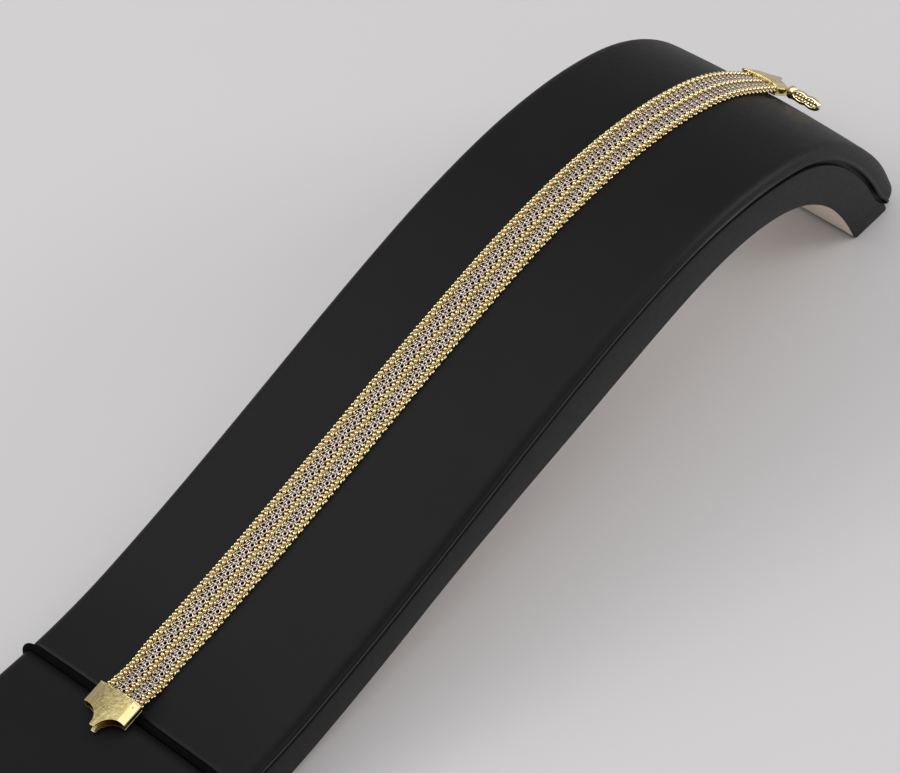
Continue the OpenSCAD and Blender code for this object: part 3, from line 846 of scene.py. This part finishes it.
# Centre line of the folded leaf in the side view: a straight part, then bent at the root the top leaf, a
# half circle as nose and the bottom leaf back. Straight lines run across it and shorten at the nose.
def makeTongue():
    g = tongueShape
    upper, lower = -g["leaf"] / 2, -g["high"] + g["leaf"] / 2
    nose, radius = arc(90, -90, 13), (g["high"] - g["leaf"]) / 2
    tip = np.stack([g["long"] + radius * np.cos(nose), -g["high"] / 2 + radius * np.sin(nose)], axis=1)
    out = np.stack([np.linspace(0.4, g["long"] - 0.2, 8), np.full(8, upper)], axis=1)
    back = np.stack([out[::-1, 0], np.full(8, lower)], axis=1)
    bent = np.concatenate([out, tip, back]) @ turn(2, -g["bend"])[:2, :2].T + [g["root"], 0]
    straight = np.stack([np.linspace(g["from"], g["root"] - 0.3, 5), np.full(5, upper)], axis=1)
    line = np.concatenate([straight, bent, np.stack([straight[::-1, 0], np.full(5, lower)], axis=1)])
    line[:, 1] += (capShape["high"] + g["high"]) / 2
    half = g["wide"] / 2 - 0.5 * np.clip((line[:, 0] - g["root"] - g["long"] + 1.4) / 2, 0, 1) ** 2
    across = half[:, None] * np.linspace(-1, 1, g["across"])[None, :]
    return np.stack([line[:, :1] + 0 * across, across, line[:, 1:] + 0 * across], axis=-1)


grid = makeTongue()
quads = gridFaces(*grid.shape[:2], flip=True)
tongue = makePiece("spring_tongue", atTongue(grid), quads, yellowSheet, "yellow_gold")
addAttribute(tongue, "brushedAndShaded", np.zeros(grid.shape[:2]))
solid = tongue.modifiers.new("leaf", "SOLIDIFY")
solid.thickness, solid.offset = tongueShape["leaf"] * mm, 0
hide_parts("tongue_cap")

hingeShape = {
    "u": 4, "v": -4.95, "rise": 0.2, "pin": 0.25, "play": 0.05, "knuckle": 0.5, "high": 0.8, "bevel": 0.08,
    "sides": 24,
}


# Knuckle: a rectangle with two corners cut, turned about the pin's line
def makeKnuckle():
    h = hingeShape
    r0, r1, z, cut = h["pin"] + h["play"], h["knuckle"], h["high"] / 2, h["bevel"]
    profile = np.array([(r0, -z), (r1 - cut, -z), (r1, -z + cut), (r1, z - cut), (r1 - cut, z), (r0, z)])
    a = 2 * np.pi * np.arange(h["sides"])[:, None] / h["sides"]
    r, z = profile[None, :, 0], profile[None, :, 1]
    ring = np.stack([r * np.cos(a), r * np.sin(a), z + 0 * a], axis=-1)
    return ring + [h["u"], h["v"], capShape["high"] / 2 + h["rise"]]


grid = makeKnuckle()
quads = gridFaces(*grid.shape[:2], True, True)
knuckle = makePiece("hinge_knuckle", atTongue(grid), quads, yellowWire, "yellow_gold", sharp=50)
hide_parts("tongue_cap")
print("tongue made")

catchShape = {
    "open": 100, "first": 1.2, "long": 8.2, "high": 2.7, "wire": 0.46, "steps": 72, "sides": 10,
    "waist": 4.6, "waistReach": 0.9, "pinch": 0.3, "web": 0.36,
    "beads": (2.2, 3.0, 3.8, 4.6, 5.4, 6.2, 6.9), "beadSize": 0.43,
    "beadOff": (0.18, 0.33),  # how far a bead sits aside and up
    "knob": (0.5, 1.12, 0.6, 1.32),  # place along, half length, half thickness, half height
}


# From the catch's own frame (x along it from the pin) to the ramp, opened as in the photograph
def atCatch(p):
    h = hingeShape
    p = np.asarray(p, float) @ turn(2, -catchShape["open"]).T
    return atTongue(p + [h["u"], h["v"], (capShape["high"] - catchShape["high"]) / 2 + h["rise"]])


# Half height of the figure eight at a along: even, drawn in at the waist as a bell curve
def eightReach(a):
    c = catchShape
    return (c["high"] / 2 - c["wire"]) * (1 - c["pinch"] * np.exp(-((a - c["waist"]) / c["waistReach"]) ** 2))


# Figure eight: an oval whose half height shrinks to a waist, drawn in round wire
def makeEight():
    c = catchShape
    t = 2 * np.pi * np.arange(c["steps"]) / c["steps"]
    last = c["long"] - c["wire"]
    a = (c["first"] + last) / 2 - (last - c["first"]) / 2 * np.cos(t)
    rounded = np.sign(np.sin(t)) * np.abs(np.sin(t)) ** 0.7
    line = np.stack([a, np.zeros_like(a), c["high"] / 2 + eightReach(a) * rounded], axis=1)
    step = np.roll(line, -1, axis=0) - np.roll(line, 1, axis=0)
    step /= np.linalg.norm(step, axis=1)[:, None]
    side = np.broadcast_to(np.array([0, 1.0, 0]), line.shape)
    return tubePoints(line, np.cross(side, step), side, c["wire"], c["sides"])


# Web that closes the two eyes: a strip as high as the eight, with a rectangle as its section
def makeWeb():
    c = catchShape
    last = c["long"] - c["wire"]
    a = np.linspace(c["first"] + 0.05, last, 40)[:, None]
    middle, half = (c["first"] + last) / 2, (last - c["first"]) / 2
    rounded = np.sqrt(np.clip(1 - ((a - middle) / half) ** 2, 0.0004, 1)) ** 0.7
    y = c["web"] * np.array([[-1, -1, 1, 1]])
    z = c["high"] / 2 + eightReach(a) * rounded * np.array([[-1, 1, 1, -1]])
    return np.stack([a + 0 * y, y + 0 * a, z], axis=-1)


# Ball with poles: centre plus three half sizes times the unit sphere
def ball(centre, sizes, rows, cols):
    lat = arc(-90, 90, rows)[:, None]
    lon = 2 * np.pi * np.arange(cols)[None, :] / cols
    sphere = np.stack([np.cos(lat) * np.cos(lon), np.cos(lat) * np.sin(lon), np.sin(lat) + 0 * lon], axis=-1)
    points = (np.asarray(centre) + sphere * sizes).reshape(-1, 3)
    return points, gridFaces(rows, cols, closeCols=True, flip=True)


# A flattened ball as knob round the pin, and four beads at each place along: two a side, one over the other
def makeKnobAndBeads():
    c = catchShape
    middle, size = c["high"] / 2, c["beadSize"]
    aside, lift = c["beadOff"]
    place, *knobSizes = c["knob"]
    parts = [ball((a, side * aside, middle + up * lift), (size * 0.95, size * 0.8, size * 1.05), 9, 16)
             for a in c["beads"] for side in (-1, 1) for up in (-1, 1)]
    parts.append(ball((place, 0, middle), knobSizes, 15, 24))
    starts = np.cumsum([0] + [len(p) for p, _ in parts])
    quads = [q + start for (_, q), start in zip(parts, starts)]
    return np.concatenate([p for p, _ in parts]), np.concatenate(quads)


web = makeLoft("catch_web", atCatch(makeWeb()), yellowWire, "yellow_gold", body="catch", sharp=40)
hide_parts("safety_catch")
grid = makeEight()
quads = gridFaces(*grid.shape[:2], True, True, flip=True)
eight = makePiece("catch_wire", atCatch(grid), quads, yellowWire, "yellow_gold", body="catch")
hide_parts("safety_catch")
points, quads = makeKnobAndBeads()
knob = makePiece("catch_knob_and_beads", atCatch(points), quads, yellowWire, "yellow_gold", body="catch")
poles = knob.modifiers.new("poles", "WELD")
poles.merge_threshold = 0.002 * mm
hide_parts("safety_catch")
print("catch made")

# Table and light
stage = {
    "floor": "#c8c6c7", "floorHalf": 3, "floorRough": 0.55, "world": "#ffffff", "worldStrength": 0.40,
    "aim": (0, 0, 0.02),
    # place in m, size in m, power in W
    "boxes": {
        "topPanel": ((-0.10, -0.14, 1.2), (1.5, 1.4), 7.6),
        "leftBox": ((-0.62, 0.76, 0.74), (0.8, 0.6), 7.2),
        "rightBox": ((0.80, -0.62, 0.42), (0.5, 0.3), 3.4),
    },
}


# A rectangular lamp at a place, turned to the aim
def addSoftbox(name, place, size, power):
    data = bpy.data.lights.new(name, "AREA")
    data.shape, data.size, data.size_y, data.energy = "RECTANGLE", size[0], size[1], power
    lamp = bpy.data.objects.new(name, data)
    bpy.context.scene.collection.objects.link(lamp)
    back = unit(np.array(place) - np.array(stage["aim"]))
    side = unit(np.cross([0, 0, 1.0], back))
    lamp.matrix_world = poseMatrix(side, np.cross(back, side), back, place)


floorMaterial, tree = newMaterial("paleTable")
finishMaterial(tree, addNode(tree, "BsdfPrincipled",
                             {"Base Color": linear(stage["floor"]), "Roughness": stage["floorRough"]}))
floorMesh = bpy.data.meshes.new("floor")
wide = stage["floorHalf"]
corners = [(-wide, -wide, 0), (wide, -wide, 0), (wide, wide, 0), (-wide, wide, 0)]
floorMesh.from_pydata(corners, [], [(0, 1, 2, 3)])
floorMesh.materials.append(floorMaterial)
floor = bpy.data.objects.new("floor", floorMesh)
bpy.context.scene.collection.objects.link(floor)

bpy.context.scene.view_settings.view_transform = "Standard"
world = bpy.data.worlds.new("softRoom")
bpy.context.scene.world = world
world.use_nodes = True
background = world.node_tree.nodes["Background"]
background.inputs["Color"].default_value = linear(stage["world"])
background.inputs["Strength"].default_value = stage["worldStrength"]
for name, (place, size, power) in stage["boxes"].items():
    addSoftbox(name, place, size, power)
print("light set")
